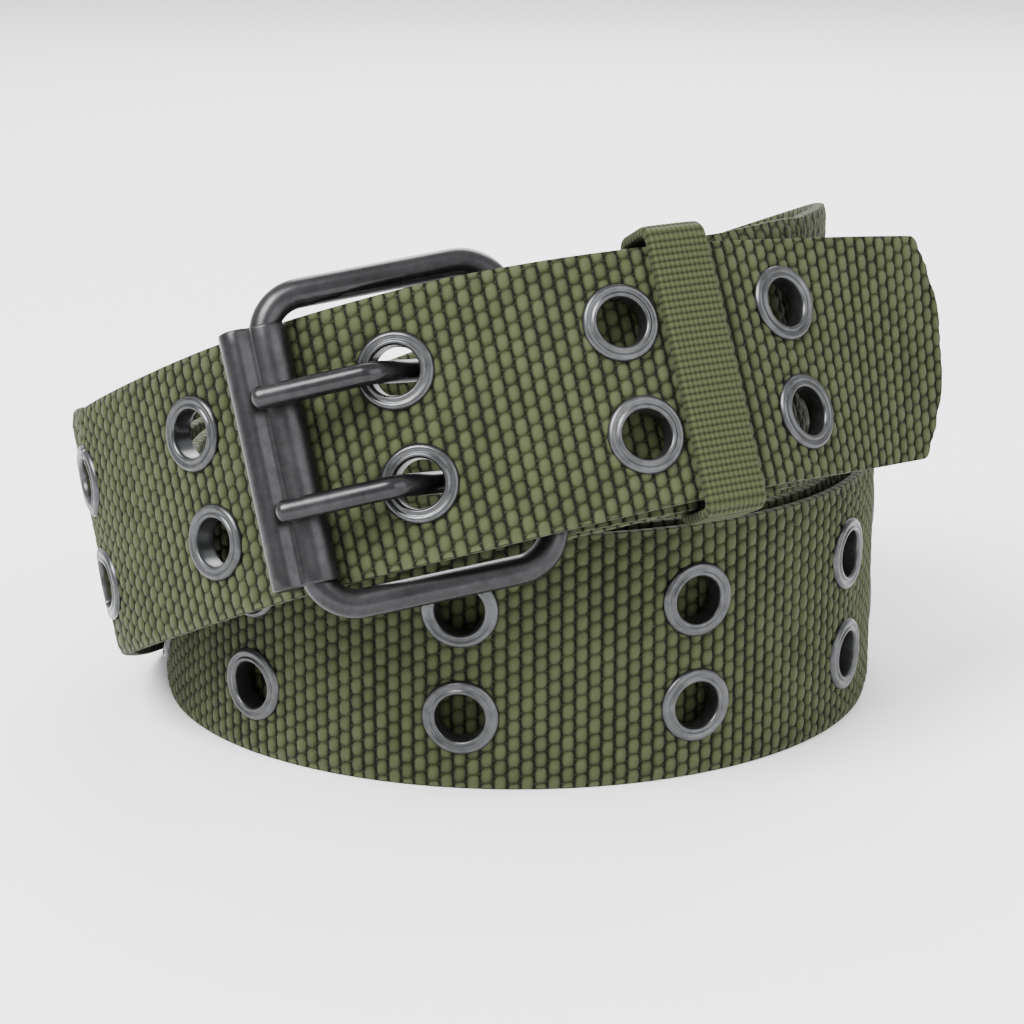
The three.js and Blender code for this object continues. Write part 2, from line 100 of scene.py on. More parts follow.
# the strap's way round the coil, in degrees of winding from the front, less with every turn inwards
route = {
    "step": 2,
    "layerStarts": (-220, -580, -940),
    "layerSpan": 70,
    "innerTuck": 0.7,
    "tuckTurns": (-940, -1010),
    "comesDown": (-72, -150),
    "pushStarts": (-35, -88),
    "pushEnds": (-110, -165),
    "risesAgain": (-830, -1020),
    "woundUp": 1080,
    "footLimit": 62,
    "keeperRoom": 2,
    "foldStep": 15,
    "tailStep": 1.5,
    "tailCloses": 2,
}

half = belt["thickness"] / 2
wireRadius = buckle["wire"] / 2
proud = belt["gap"] + eye["height"]
layerPitch = belt["thickness"] + 2 * proud + belt["gap"]
foldRadius = wireRadius + belt["gap"] + half
barToTip = foldRadius + belt["thickness"] + proud + belt["layGap"]
barToUnder = wireRadius + 2 * belt["gap"] + buckle["sheet"] + half
ringRadius = belt["coil"] + belt["ringWider"]
barRadius = ringRadius - barToTip
limbRadius = barRadius + foldRadius
prongReach = buckle["length"] / 2 + belt["gap"]
prongTurn = belt["buckleTurn"] - math.degrees(prongReach / ringRadius)
prongsToKeeper = eye["heldPitch"] + (eye["flange"] + keeper["width"]) / 2 + keeper["gap"]
keeperTurn = prongTurn + math.degrees(prongsToKeeper / ringRadius)

leanings = [math.radians(belt["leanLeft"]), math.radians(belt["leanBack"])]
along = np.array([-math.sin(leanings[0]), math.sin(leanings[1]), 0.0])
along[2] = math.sqrt(1 - along @ along)
sideways = np.cross([0.0, 1.0, 0.0], along)
sideways /= np.linalg.norm(sideways)
rear = np.cross(along, sideways)
upright = np.array([0.0, 0.0, 1.0])
foldInside = barRadius - foldRadius - half
ringForward = belt["coil"] + half + proud + belt["gap"] - rear[1] * foldInside
ringForward -= along[1] * belt["width"] / 2
ringMiddle = np.array([belt["ringShift"], -ringForward, belt["ringHeight"] * belt["width"]])


def onRing(right, out, up=0.0):
    return ringMiddle + right * sideways - out * rear + up * along


def polar(turn, radius):
    return np.array([radius * math.sin(math.radians(turn)), radius * math.cos(math.radians(turn))])


def onTurn(turn, radius):
    return onRing(*polar(turn, radius))


def circlesMeet(radius, point, reach):
    distance = math.hypot(*point)
    foot = (radius**2 - reach**2 + distance**2) / (2 * distance)
    height = math.sqrt(radius**2 - foot**2)
    ray = np.array(point) / distance
    return np.array([ray[0] * foot - ray[1] * height, ray[1] * foot + ray[0] * height])


# a smooth step from 0 at start to 1 at end
def ease(x, start, end):
    t = min(1.0, max(0.0, (x - start) / (end - start)))
    return t * t * t * (t * (6 * t - 15) + 10)


def flatRadius(turn):
    passed = sum(ease(turn, start, start - route["layerSpan"]) for start in route["layerStarts"])
    inside = route["innerTuck"] * ease(turn, *route["tuckTurns"])
    return belt["coil"] + layerPitch * (1 - passed) - inside


def ringFoot(turn, radius):
    return max(0.0, onTurn(turn, radius)[2] - along[2] * belt["width"] / 2)


prongBar = polar(belt["buckleTurn"], barRadius)
sleeveBar = circlesMeet(ringRadius + barToUnder, prongBar, buckle["length"])
buckleRight = (prongBar - sleeveBar) / buckle["length"]
buckleOut = np.array([-buckleRight[1], buckleRight[0]])
buckleMiddle = (prongBar + sleeveBar) / 2


def flatPlace(turn, radius):
    a = math.radians(turn)
    return np.array([radius * math.sin(a), -radius * math.cos(a), 0.0])


def strapPath():
    points, ups, feet = [], [], []

    def add(point, up, foot=None):
        points.append(np.array(point, float))
        ups.append(up / np.linalg.norm(up))
        feet.append(foot)

    def leaning(lean):
        return np.array([along[0], math.sin(math.radians(lean)), along[2]])

    def leanAt(reach):
        upturn = belt["tipLean"] - belt["leanBack"]
        return belt["leanBack"] + upturn * ease(reach, leanStart, straight)

    ringArc = math.radians(belt["tipLeaves"] - belt["buckleTurn"]) * ringRadius
    straight = eye["heldPitch"] + eye["lastPitch"] + eye["reach"] - prongReach - ringArc
    leave = onTurn(belt["tipLeaves"], ringRadius)
    ahead = leave - onTurn(belt["tipLeaves"] - 0.1, ringRadius)
    ahead /= np.linalg.norm(ahead)
    leanStart = math.radians(keeperTurn - belt["tipLeaves"]) * ringRadius + keeper["width"] / 2
    steps = round(straight / 2)
    for i in range(steps, 0, -1):
        reach = straight * i / steps
        add(leave + ahead * reach, leaning(leanAt(reach)))
    turn = belt["tipLeaves"]
    while turn > belt["crossTurn"] - route["woundUp"]:
        down = ease(turn, *route["comesDown"])
        flat = flatPlace(turn, flatRadius(turn))
        if turn > route["comesDown"][1]:
            lean = leanAt(math.radians(turn - belt["tipLeaves"]) * ringRadius)
            push = ease(turn, *route["pushStarts"]) * (1 - ease(turn, *route["pushEnds"]))
            spot = onTurn(turn, ringRadius) * (1 - down) + flat * down
            spot += flat / np.linalg.norm(flat) * belt["leftPush"] * push
            foot = ringFoot(turn, ringRadius) * (1 - down) if down > 0 else None
            add(spot, leaning(lean) * (1 - down) + upright * down, foot)
        else:
            foot = ringFoot(min(turn + route["woundUp"], route["footLimit"]), limbRadius)
            add(flat, upright, foot * ease(turn, *route["risesAgain"]))
        turn -= route["step"]
    turn = belt["crossTurn"]
    joined = keeperTurn + math.degrees((keeper["width"] / 2 + route["keeperRoom"]) / limbRadius)
    while turn > belt["buckleTurn"]:
        join = ease(turn, belt["crossTurn"], joined)
        wound = turn - route["woundUp"]
        flat = flatPlace(turn, flatRadius(wound))
        foot = ringFoot(min(turn, route["footLimit"]), limbRadius) * ease(wound, *route["risesAgain"])
        spot = flat * (1 - join) + onTurn(turn, limbRadius) * join
        add(spot, upright * (1 - join) + along * join, foot if join < 1 else None)
        turn -= route["step"]
    out = prongBar / np.linalg.norm(prongBar)
    left = np.array([-out[1], out[0]])
    for a in np.radians(range(0, 181, route["foldStep"])):
        add(onRing(*(prongBar + (out * math.cos(a) + left * math.sin(a)) * foldRadius)), along)
    reach = route["tailStep"]
    room = 2 * foldRadius - belt["thickness"] - 2 * belt["gap"]
    while reach <= belt["tail"]:
        closing = room / 2 * ease(reach, route["tailCloses"], belt["tail"])
        add(onRing(*(prongBar + out * (closing - foldRadius) - left * reach)), along)
        reach += route["tailStep"]
    for i, foot in enumerate(feet):
        if foot is not None:
            lean = math.sqrt(max(0.0, 1 - ups[i][2] ** 2))
            points[i][2] = foot + ups[i][2] * belt["width"] / 2 + lean * belt["thickness"]
    return np.array(points), np.array(ups)


pathPoints, pathUps = strapPath()
pathSteps = np.linalg.norm(np.diff(pathPoints, axis=0), axis=1)
pathReach = np.concatenate([[0.0], np.cumsum(pathSteps)])
pathAhead = np.gradient(pathPoints, axis=0)
pathAhead /= np.linalg.norm(pathAhead, axis=1)[:, None]
pathUps = pathUps - np.sum(pathUps * pathAhead, axis=1)[:, None] * pathAhead
pathUps /= np.linalg.norm(pathUps, axis=1)[:, None]
pathOut = np.cross(pathUps, pathAhead)
strapLength = pathReach[-1]
foldStart = strapLength - belt["tail"] - math.pi * foldRadius
foldEnd = strapLength - belt["tail"]
foldWidth = buckle["height"] - 2 * buckle["corner"] - 2 * belt["gap"]


def sampled(values, reach):
    return np.stack([np.interp(reach, pathReach, values[:, k]) for k in range(3)], axis=-1)


def onStrap(reach, across, out):
    up = sampled(pathUps, reach)
    normal = sampled(pathOut, reach)
    normal /= np.linalg.norm(normal, axis=-1)[..., None]
    up /= np.linalg.norm(up, axis=-1)[..., None]
    across, out = np.asarray(across)[..., None], np.asarray(out)[..., None]
    return sampled(pathPoints, reach) + up * across + normal * out


def edgeLine(side, face):
    ends = np.ones(len(pathReach))
    return onStrap(pathReach, ends * side * belt["width"] / 2, ends * face * half)


# the frame's origin is the base's middle, so the path moves by what sets its box on the solid's
corners = np.concatenate([edgeLine(side, face) for side in (-1, 1) for face in (-1, 1)])
solidBox = [np.array(c) * 1000 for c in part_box("strap")]
shift = np.array([0.0, 0.0, 0.0])
shift[:2] = ((solidBox[0] + solidBox[1]) / 2 - (corners.min(axis=0) + corners.max(axis=0)) / 2)[:2]
print("strap path", round(strapLength, 1), "mm, shift", [round(float(v), 2) for v in shift])


def place(points):
    return (np.asarray(points) + shift) / 1000


def makePiece(name, vertices, faces, uvs=None):
    mesh = bpy.data.meshes.new(name)
    faces = np.asarray(faces)
    size = faces.shape[1]
    mesh.vertices.add(len(vertices))
    mesh.vertices.foreach_set("co", np.asarray(vertices, dtype=np.float32).ravel())
    mesh.loops.add(faces.size)
    mesh.loops.foreach_set("vertex_index", faces.astype(np.int32).ravel())
    mesh.polygons.add(len(faces))
    mesh.polygons.foreach_set("loop_start", np.arange(0, faces.size, size, dtype=np.int32))
    if uvs is not None:
        layer = mesh.uv_layers.new(name="cloth")
        layer.data.foreach_set("uv", np.asarray(uvs, dtype=np.float32)[faces.ravel()].ravel())
    mesh.update(calc_edges=True)
    mesh.validate()
    mesh.polygons.foreach_set("use_smooth", np.ones(len(mesh.polygons), bool))
    piece = bpy.data.objects.new(name, mesh)
    bpy.context.scene.collection.objects.link(piece)
    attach(piece, "root")
    return piece


# quads over a grid of vertices, where a closed row or column runs on into the first one
def gridFaces(rows, columns, closedRows=False, closedColumns=False):
    i = np.arange(rows if closedRows else rows - 1)
    j = np.arange(columns if closedColumns else columns - 1)
    i, j = np.meshgrid(i, j, indexing="ij")
    i2, j2 = (i + 1) % rows, (j + 1) % columns
    corners = [i * columns + j, i * columns + j2, i2 * columns + j2, i2 * columns + j]
    return np.stack(corners, axis=-1).reshape(-1, 4)


# the weave is beads in columns across the strap, every other column set half a bead along
web = {
    "column": 1.93,
    "bead": 2.4,
    "beadWidth": 0.44,
    "beadLength": 0.5,
    "beadPower": 3.0,
    "relief": 0.5,
    "reliefMiddle": 0.55,
    "skew": 0.14,
    "selvedge": 1.6,
    "selvedgeRelief": 0.25,
    "weft": 0.42,
    "weftSteepness": 9.0,
    "rimStart": 0.988,
    "rimTurns": (-60.0, -20.0, 20.0, 60.0),
    "faceOut": 0.93,
    "edgeOut": 0.86,
    "edgeFrom": 0.95,
    "rimFrom": 0.99,
    "rimPattern": 1.2,
    "firstRows": (0.02, 0.08, 0.2, 0.35),
    "rowsFrom": 0.4,
    "yarnStretch": (5.0, 1.6, 1.0),
    "yarnDetail": 3.0,
}


def beadHeight(reach, across):
    column = reach / web["column"]
    number = np.floor(column)
    fu = column - number - 0.5
    row = across / web["bead"] + 0.5 * np.mod(number, 2) + web["skew"] * fu
    fv = row - np.floor(row) - 0.5
    wide, long = np.abs(fu / web["beadWidth"]), np.abs(fv / web["beadLength"])
    dome = np.clip(1 - wide ** web["beadPower"] - long ** web["beadPower"], 0, 1) ** 0.5
    edge = np.clip((belt["width"] / 2 - np.abs(across)) / web["selvedge"], 0, 1)
    return dome * (web["selvedgeRelief"] + (1 - web["selvedgeRelief"]) * edge)


# the strap's half width: rounded and tapered at the tip, cut narrower where it folds in the frame
def halfWidth(reach):
    full = belt["width"] / 2
    radius = (belt["tipCorner"] ** 2 + belt["tipBulge"] ** 2) / (2 * belt["tipBulge"])
    inside = np.clip(radius - np.asarray(reach), 0, None)
    tip = np.where(reach < radius, np.sqrt(np.clip(radius**2 - inside**2, 0, None)), belt["width"])
    near, far = buckle["shoulders"]
    shoulders = [foldStart - far, foldStart - near, foldEnd + near, foldEnd + far]
    fold = np.interp(reach, shoulders, [full, foldWidth / 2, foldWidth / 2, full])
    taper = belt["tipNarrowing"] / 2 * np.clip(1 - np.asarray(reach) / belt["taperLength"], 0, None)
    return np.minimum(np.minimum(full - taper, tip), fold)


pairs = [eye["reach"], eye["reach"] + eye["lastPitch"]]
pairs.append(pairs[-1] + eye["heldPitch"])
while len(pairs) < eye["count"]:
    pairs.append(pairs[-1] + eye["pitch"])


# True over the cells of the grid that the eyelets and the prongs' slots take out
def openCells(reach, across):
    cut = eye["hole"] / 2 + eye["wall"] + eye["cutRoom"]
    cells = np.zeros(reach.shape, bool)
    for pair in pairs:
        cells |= np.hypot(reach - pair, np.abs(across) - eye["rows"] / 2) < cut
    slotHalf = buckle["prong"] / 2 + buckle["slotRoom"]
    eyeOutside = wireRadius + belt["gap"] + buckle["prongEye"]
    beside = math.sqrt(eyeOutside**2 - (foldRadius - half) ** 2) + buckle["slotRoom"]
    inSlot = (reach > foldStart - beside) & (reach < foldEnd + beside)
    return cells | (inSlot & (np.abs(np.abs(across) - eye["rows"] / 2) < slotHalf))


# quads between the strap's two faces, along the holes' rims and over the piece's ends
def wallFaces(opened, outer, inner):
    sides = []

    def wall(mask, first, second):
        i, j = np.nonzero(mask)
        (a, b), (c, d) = first, second
        one, two = (i + a, j + b), (i + c, j + d)
        sides.append(np.stack([outer[one], outer[two], inner[two], inner[one]], axis=-1))

    wall(~opened[:, :-1] & opened[:, 1:], (1, 1), (0, 1))
    wall(opened[:, :-1] & ~opened[:, 1:], (0, 1), (1, 1))
    wall(~opened[:-1] & opened[1:], (1, 0), (1, 1))
    wall(opened[:-1] & ~opened[1:], (1, 1), (1, 0))
    sides.append(np.stack([outer[0, 1:], outer[0, :-1], inner[0, :-1], inner[0, 1:]], axis=-1))
    sides.append(np.stack([outer[-1, :-1], outer[-1, 1:], inner[-1, 1:], inner[-1, :-1]], axis=-1))
    return np.concatenate(sides)


def strapPiece(name, start, end, step, acrossStep):
    reach = np.linspace(start, end, int(round((end - start) / step)) + 1)
    if start == 0:
        reach = np.concatenate([web["firstRows"], reach[reach > web["rowsFrom"]]])
    # once round the strap's section: share of the half width, side of the middle, relief or none
    count = int(round(belt["width"] / acrossStep)) + 1
    share = np.linspace(-web["rimStart"], web["rimStart"], count)
    turns = np.radians(web["rimTurns"])
    bulge = 1 - web["rimStart"]
    rim = np.stack([web["rimStart"] + bulge * np.cos(turns), -np.sin(turns), 0 * turns], axis=1)
    outer = np.stack([share, np.ones(count), np.ones(count)], axis=1)
    inner = np.stack([share[::-1], -np.ones(count), np.zeros(count)], axis=1)
    loop = np.concatenate([outer, rim, inner, rim * [-1, -1, 1]])
    reaches = np.repeat(reach[:, None], len(loop), axis=1)
    shares, sides, woven = (np.repeat(loop[None, :, k], len(reach), axis=0) for k in range(3))
    across = shares * halfWidth(reaches)
    rise = (beadHeight(reaches, across) - web["reliefMiddle"]) * web["relief"] * woven
    slim = np.where(np.abs(shares) > web["edgeFrom"], web["edgeOut"], web["faceOut"])
    vertices = place(onStrap(reaches, across, sides * half * slim + rise)).reshape(-1, 3)
    # the pattern runs a little past the edge, so that the rim has its own colours
    past = np.where(np.abs(shares) > web["rimFrom"], sides * web["rimPattern"], 0)
    uvs = np.stack([reaches, across + past], axis=-1).reshape(-1, 2)
    grid = np.arange(reaches.size).reshape(reaches.shape)
    innerStart = count + len(turns)
    outerGrid, innerGrid = grid[:, :count], grid[:, innerStart : innerStart + count][:, ::-1]
    middle = (reach[:-1] + reach[1:]) / 2
    spot = (across[:-1, : count - 1] + across[1:, 1:count]) / 2
    opened = openCells(np.repeat(middle[:, None], count - 1, axis=1), spot)
    kept = np.ones((len(reach) - 1, len(loop)), bool)
    kept[:, : count - 1] = ~opened
    kept[:, innerStart : innerStart + count - 1] = ~opened[:, ::-1]
    faces = gridFaces(len(reach), len(loop), closedColumns=True)[kept.ravel()]
    walls = wallFaces(opened, outerGrid, innerGrid)
    piece = makePiece(name, vertices, np.concatenate([faces, walls])[:, ::-1], uvs)
    shade = np.ones(len(piece.data.polygons), bool)
    shade[len(faces) :] = False
    piece.data.polygons.foreach_set("use_smooth", shade)
    return piece


# circles of points round a line, each in the plane of its right and up
def ringAlong(centres, rights, ups, radii, sides):
    a = np.linspace(0, 2 * math.pi, sides, endpoint=False)
    rings = []
    for c, r, u, radius in zip(centres, rights, ups, radii):
        rings.append(c + np.outer(np.cos(a) * radius, r) + np.outer(np.sin(a) * radius, u))
    return np.array(rings)


def tubePiece(name, centres, rights, ups, radii, sides, closed):
    rings = ringAlong(centres, rights, ups, radii, sides)
    vertices = place(rings).reshape(-1, 3)
    faces = gridFaces(len(rings), sides, closedRows=closed, closedColumns=True)
    return makePiece(name, vertices, faces)


fine = ((0.38, 0.4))
# start and end in columns, joined half way over a column, where the relief is level, and the mm
# between the mesh's rows, along and across
strapSpans = {
    "strap_tip": (0, 85.5, *fine),
    "strap_left": (85.5, 170.5, *fine),
    "strap_back": (170.5, 196.5, 0.6, 0.6),
    "strap_right": (196.5, 254.5, *fine),
    "strap_front": (254.5, 311.5, *fine),
    "strap_inner": (311.5, strapLength / web["column"], 0.75, 0.75),
}
strapParts = []
for name, (start, end, step, acrossStep) in strapSpans.items():
    start, end = start * web["column"], end * web["column"]
    piece = strapPiece(name, start, end, step, acrossStep)
    strapParts.append(piece)
print("strap pieces", [len(p.data.polygons) for p in strapParts])
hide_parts("strap")


# half of the rolled eyelet's section, from the hole outwards: radius, distance from the strap's middle
eyeProfile = [
    (3.5, 0.5),
    (3.5, 1.2),
    (3.56, 1.52),
    (3.72, 1.74),
    (3.95, 1.82),
    (4.14, 1.76),
    (4.28, 1.6),
    (4.4, 1.56),
    (4.56, 1.64),
    (4.8, 1.76),
    (5.05, 1.75),
    (5.28, 1.63),
    (5.46, 1.42),
    (5.57, 1.15),
    (5.58, 0.98),
    (4.5, 0.9),
    (3.95, 0.9),
]


def eyeletPiece(name, reach, across):
    profile = np.array(eyeProfile + [(radius, -out) for radius, out in reversed(eyeProfile)])
    a = np.linspace(0, 2 * math.pi, eye["sides"], endpoint=False)
    reaches = reach + np.outer(np.cos(a), profile[:, 0])
    acrosses = across + np.outer(np.sin(a), profile[:, 0])
    outs = np.outer(np.ones(len(a)), profile[:, 1])
    vertices = place(onStrap(reaches, acrosses, outs)).reshape(-1, 3)
    piece = makePiece(name, vertices, gridFaces(len(a), len(profile), True, True))
    return piece


eyelets = []
for number, reach in enumerate(pairs, 1):
    for word, row in (("upper", 1), ("lower", -1)):
        node = f"eyelet_{number:02d}_{word}"
        piece = eyeletPiece("rolled_" + node, reach, row * eye["rows"] / 2)
        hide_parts(node)
        eyelets.append(piece)
print("eyelets", len(eyelets))

# the buckle's own directions, and its middle
right3 = sideways * buckleRight[0] - rear * buckleRight[1]
out3 = sideways * buckleOut[0] - rear * buckleOut[1]
middle3 = onRing(*buckleMiddle)


def onBuckle(x, y, z):
    spot = middle3 + np.multiply.outer(x, right3) + np.multiply.outer(y, out3)
    return spot + np.multiply.outer(z, along)


# a line through the points with its corners rounded, as places and directions
def roundedLine(points, radius, steps, closed):
    line = []
    count = len(points)
    points = [np.array(p, float) for p in points]
    for i, corner in enumerate(points):
        if not closed and i in (0, count - 1):
            d = points[1] - points[0] if i == 0 else points[-1] - points[-2]
            line.append((corner, d / np.linalg.norm(d)))
            continue
        into = corner - points[i - 1]
        onward = points[(i + 1) % count] - corner
        into /= np.linalg.norm(into)
        onward /= np.linalg.norm(onward)
        turn = math.atan2(into[0] * onward[1] - into[1] * onward[0], into @ onward)
        inner = np.array([-into[1], into[0]]) * math.copysign(radius, turn)
        hub = corner - into * radius * math.tan(abs(turn) / 2) + inner
        for k in range(steps + 1):
            a = turn * k / steps
            spin = np.array([[math.cos(a), -math.sin(a)], [math.sin(a), math.cos(a)]])
            line.append((hub - spin @ inner, spin @ into))
    return line


def frameWire():
    x, z = buckle["length"] / 2, buckle["height"] / 2
    corners = [(x, z), (-x, z), (-x, -z), (x, -z)]
    line = roundedLine(corners, buckle["corner"], buckle["cornerSteps"], True)
    centres = [onBuckle(p[0], 0.0, p[1]) for p, _ in line]
    rights = [right3 * -d[1] + along * d[0] for _, d in line]
    ups, radii = [out3] * len(line), [wireRadius] * len(line)
    piece = tubePiece("frame_wire", centres, rights, ups, radii, buckle["sides"], True)
    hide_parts("buckle_frame")
    return piece


sleeve = {
    "sides": 120,
    "stations": 14,
    "straightFrom": 2.0,
    "rounding": ((0.0, 0.93), (0.12, 0.98), (0.4, 1.0)),  # distance from the end, share of the outline
    "lipSink": 0.3,
    "seam": (-2.2, -0.35),
    "seamRadius": 2.5,
}


def sleevePiece():
    straight = buckle["height"] / 2 - buckle["corner"]
    bent = max(0.0, buckle["sleeve"] / 2 - straight)
    slack = buckle["corner"] - math.sqrt(buckle["corner"] ** 2 - bent**2)
    bore = wireRadius + belt["gap"]
    tube = bore + buckle["sheet"]
    lip = np.array([-buckle["lipReach"], tube - buckle["lip"] - sleeve["lipSink"]])
    a = np.linspace(0, 2 * math.pi, sleeve["sides"], endpoint=False)
    rays = np.stack([np.cos(a), np.sin(a)], axis=1)

    # how far each ray from the bar's middle runs inside a circle
    def reachTo(centre, radius):
        b = rays @ centre
        d = b**2 - centre @ centre + radius**2
        return np.where(d > 0, b + np.sqrt(np.clip(d, 0, None)), 0.0)

    outer = np.maximum(reachTo(np.array([slack, 0.0]), tube), reachTo(lip, buckle["lip"]))
    outer = np.maximum(outer, reachTo(np.array(sleeve["seam"]), sleeve["seamRadius"]))
    inner = np.maximum(reachTo(np.array([slack, 0.0]), bore), bore)
    end = buckle["sleeve"] / 2
    straightEnd = end - sleeve["straightFrom"]
    stations = [(-end, inner)] + [(inset - end, outer * share) for inset, share in sleeve["rounding"]]
    stations += [(z, outer) for z in np.linspace(-straightEnd, straightEnd, sleeve["stations"])]
    stations += [(end - inset, outer * share) for inset, share in reversed(sleeve["rounding"])]
    stations.append((end, inner))
    rings = []
    for z, r in stations:
        x, y = rays[:, 0] * r - buckle["length"] / 2, rays[:, 1] * r
        rings.append(onBuckle(x, y, np.full(len(a), z)))
    vertices = place(np.array(rings)).reshape(-1, 3)
    faces = gridFaces(len(rings), len(a), closedRows=True, closedColumns=True)
    piece = makePiece("sleeve_sheet", vertices, faces)
    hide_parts("buckle_sleeve")
    return piece


prongShape = {
    "startInEye": 0.6,
    "crossing": 2.5,
    "crossingRoom": 0.5,
    "restPast": 0.9,
    "restRoom": 0.05,
    "bend": 3.0,
    "bendSteps": 10,
    "step": 0.8,
    "sides": 24,
    "noseLength": 0.75,
    "noseTurns": (15, 88, 7),
    "eyeHeight": 0.47,
    "eyeWall": 0.999,
    "eyeTurns": 40,
    "eyeSides": 16,
}


def prongPiece(word, row):
    shape = prongShape
    spot = polar(prongTurn, ringRadius)
    outward = spot / np.linalg.norm(spot)
    left = np.array([-outward[1], outward[0]])
    radius = buckle["prong"] / 2
    clear = half + proud + belt["gap"] + radius + shape["crossingRoom"]
    bar = np.array([(prongBar - spot) @ left, (prongBar - spot) @ outward])
    roller = np.array([(sleeveBar - spot) @ left, (sleeveBar - spot) @ outward])
    rest = wireRadius + 2 * belt["gap"] + buckle["sheet"] + radius + shape["restRoom"]
    inside = wireRadius + belt["gap"]
    corners = [
        (bar[0] + inside + buckle["prongEye"] * shape["startInEye"], bar[1]),
        (-shape["crossing"], -clear),
        (shape["crossing"], clear),
        (roller[0] + shape["restPast"], roller[1] + rest),
    ]
    line = roundedLine(corners, shape["bend"], shape["bendSteps"], False)
    smoothLine = []
    for (p, d), (q, e) in zip(line[:-1], line[1:]):
        steps = max(1, int(np.linalg.norm(q - p) / shape["step"]))
        smoothLine += [(p + (q - p) * k / steps, d + (e - d) * k / steps) for k in range(steps)]
    smoothLine.append(line[-1])
    last, ahead = smoothLine[-1]
    radii = [radius] * len(smoothLine)
    for turn in np.radians(np.linspace(*shape["noseTurns"])):
        smoothLine.append((last + ahead * radius * shape["noseLength"] * math.sin(turn), ahead))
        radii.append(radius * math.cos(turn))
    lift = row * eye["rows"] / 2
    centres, rights = [], []
    for p, d in smoothLine:
        q = spot + left * p[0] + outward * p[1]
        n = left * -d[1] + outward * d[0]
        n = n / np.linalg.norm(n)
        centres.append(onRing(q[0], q[1], lift))
        rights.append(sideways * n[0] - rear * n[1])
    shank = ringAlong(centres, rights, [along] * len(centres), radii, shape["sides"])
    vertices = [shank.reshape(-1, 3)]
    faces = [gridFaces(len(shank), shape["sides"], closedColumns=True)]
    # the eye is an oval section turned round the bar
    wall, tall = buckle["prongEye"] / 2, buckle["prong"] * shape["eyeHeight"]
    section = []
    for t in np.linspace(0, 2 * math.pi, shape["eyeSides"], endpoint=False):
        section.append((inside + wall + wall * math.cos(t) * shape["eyeWall"], tall * math.sin(t)))
    section = np.array(section)
    rings = []
    for a in np.linspace(0, 2 * math.pi, shape["eyeTurns"], endpoint=False):
        x, y = prongBar[:, None] + np.outer([math.cos(a), math.sin(a)], section[:, 0])
        rings.append([onRing(x[k], y[k], lift + z) for k, z in enumerate(section[:, 1])])
    rings = np.array(rings)
    faces.append(gridFaces(shape["eyeTurns"], shape["eyeSides"], True, True) + len(vertices[0]))
    vertices.append(rings.reshape(-1, 3))
    piece = makePiece("prong_wire_" + word, place(np.concatenate(vertices)), np.concatenate(faces))
    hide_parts("prong_" + word)
    return piece


metalParts = [frameWire(), sleevePiece(), prongPiece("upper", 1), prongPiece("lower", -1)]
print("buckle")

ribs = {
    "pitch": 0.95,
    "warp": 0.75,
    "relief": 0.22,
    "share": 0.65,
    "power": 0.7,
    "warpPower": 0.8,
    "corner": 0.8,
    "cornerSteps": 12,
    "step": 0.24,
    "across": 40,
    "acrossBack": 12,
    "edge": 0.8,
    "edgeFrom": 0.97,
    "edgeOut": 0.8,
    "sideOut": 1.02,
    "sideSteps": (0.5, 0.0, -0.5),
}


def keeperPiece():
    inner = limbRadius - half - keeper["gap"]
    outer = ringRadius + half + keeper["gap"]
    tall = belt["width"] / 2 + keeper["gap"]
    thick = keeper["thickness"]
    grow = thick / 2
    box = [(inner - grow, -tall - grow), (outer + grow, -tall - grow)]
    box += [(outer + grow, tall + grow), (inner - grow, tall + grow)]
    corners = roundedLine(box, ribs["corner"] + grow, ribs["cornerSteps"], True)
    line = []
    for k, (p, d) in enumerate(corners):
        q, e = corners[(k + 1) % len(corners)]
        steps = max(1, int(np.linalg.norm(q - p) / ribs["step"]))
        line += [(p + (q - p) * m / steps, d + (e - d) * m / steps) for m in range(steps)]
    steps = [np.linalg.norm(line[k + 1][0] - line[k][0]) for k in range(len(line) - 1)]
    lengths = np.cumsum([0.0] + steps)
    w = keeper["width"] / 2
    # once round the tape's section: share of the half width, side of the middle, relief or none
    face = [(x, 1.0, 1.0) for x in np.linspace(-1, 1, ribs["across"])]
    side = [(ribs["sideOut"], s, 0.0) for s in ribs["sideSteps"]]
    back = [(x, -1.0, 0.0) for x in np.linspace(1, -1, ribs["acrossBack"])]
    other = [(-ribs["sideOut"], -s, 0.0) for s in ribs["sideSteps"]]
    loop = np.array(face + side + back + other)
    vertices, uvs = [], []
    for (p, d), run in zip(line, lengths):
        n = np.array([d[1], -d[0]])
        n = n / np.linalg.norm(n)
        rib = abs(math.sin(math.pi * run / ribs["pitch"])) ** ribs["power"]
        for x, o, k in loop:
            warp = abs(math.sin(math.pi * (x * w) / ribs["warp"])) ** ribs["warpPower"]
            edge = min(1.0, (1.001 - abs(x)) * w / ribs["edge"]) if abs(x) <= 1 else 0.0
            level = rib * ribs["share"] + warp * (1 - ribs["share"]) - 0.5
            rise = k * ribs["relief"] * level * edge
            slim = 1.0 if abs(x) < ribs["edgeFrom"] else ribs["edgeOut"]
            spot = p + n * (o * thick / 2 * slim + rise)
            turn = keeperTurn + math.degrees(x * w / ringRadius)
            q = polar(turn, spot[0])
            vertices.append(onRing(q[0], q[1], spot[1]))
            uvs.append((run, x * w))
    faces = gridFaces(len(line), len(loop), closedRows=True, closedColumns=True)
    piece = makePiece("keeper_loop", place(vertices), faces, np.array(uvs))
    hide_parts("keeper")
    # a sheet is at least 10 mm wide as declared, so the tape's own area is given beside it
    return piece


keeperLoop = keeperPiece()
print("keeper")

